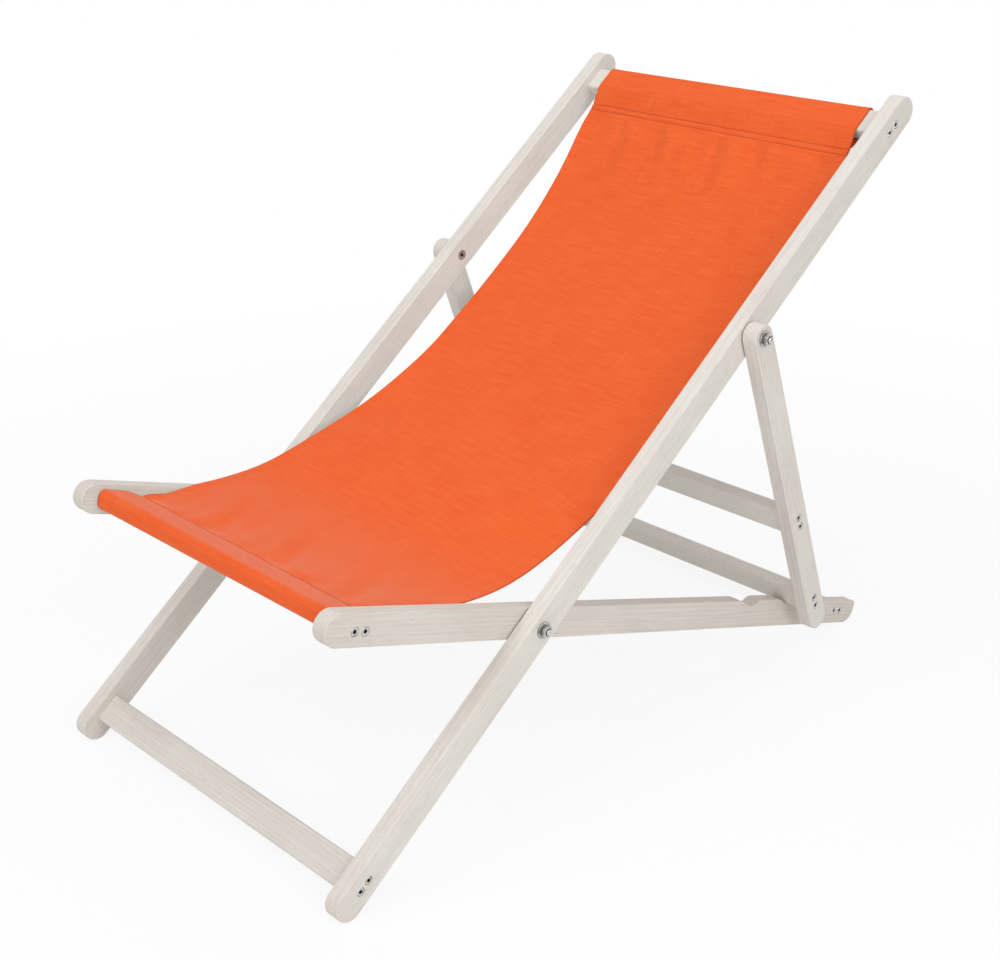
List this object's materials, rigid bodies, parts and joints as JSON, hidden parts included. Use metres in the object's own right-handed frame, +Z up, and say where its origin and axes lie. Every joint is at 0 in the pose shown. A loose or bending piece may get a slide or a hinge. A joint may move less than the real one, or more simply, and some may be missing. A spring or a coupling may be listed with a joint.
{
  "type": "folding sun lounger",
  "caption": "Folding deck-chair lounger: pale wooden back, seat and prop frames on bolted pivots, a prop bar locked in notched seat rails, and an orange cloth sling hung from back to seat.",
  "frame": {"origin": "on the floor, under the middle of the chair's plan", "axes": "+X towards the sitter's left, -Y the front where the sitter's legs go, +Z up"},
  "size_m": [0.5954, 0.9852, 0.7583],
  "materials": {
    "limed_wood": "limed, satin",
    "zinc_steel": "zinc plated",
    "orange_canvas": "matt canvas"
  },
  "bodies": {
    "back_frame": {"back_rail_left": "limed_wood", "back_rail_right": "limed_wood", "top_cross_rail": "limed_wood", "foot_cross_rail": "limed_wood", "prop_pivot_bolts": "zinc_steel", "prop_pivot_spacers": "zinc_steel", "prop_pivot_washers": "zinc_steel", "prop_pivot_nuts": "zinc_steel", "sling": "orange_canvas"},
    "seat_frame": {"seat_rail_left": "limed_wood", "seat_rail_right": "limed_wood", "seat_front_rail": "limed_wood", "seat_rear_rail": "limed_wood", "seat_pivot_bolts": "zinc_steel", "seat_pivot_spacers": "zinc_steel", "seat_pivot_washers": "zinc_steel", "seat_pivot_nuts": "zinc_steel"},
    "prop_frame": {"prop_arm_left": "limed_wood", "prop_arm_right": "limed_wood", "prop_upper_rail": "limed_wood", "prop_locking_bar": "limed_wood"}
  },
  "joints": [
    {"name": "seat_fold", "type": "hinge", "parent": "back_frame", "child": "seat_frame", "pos_m": [0, -0.18054, 0.24322], "axis": [-1, 0, 0], "range_deg": [0, 115], "deforming": ["sling"]},
    {"name": "prop_fold", "type": "hinge", "parent": "back_frame", "child": "prop_frame", "pos_m": [0, 0.1713, 0.5124], "axis": [-1, 0, 0], "range_deg": [0, 66]}
  ],
  "couplings": [
    {"joint": "prop_fold", "follows": "seat_fold", "ratio": 0.57}
  ]
}
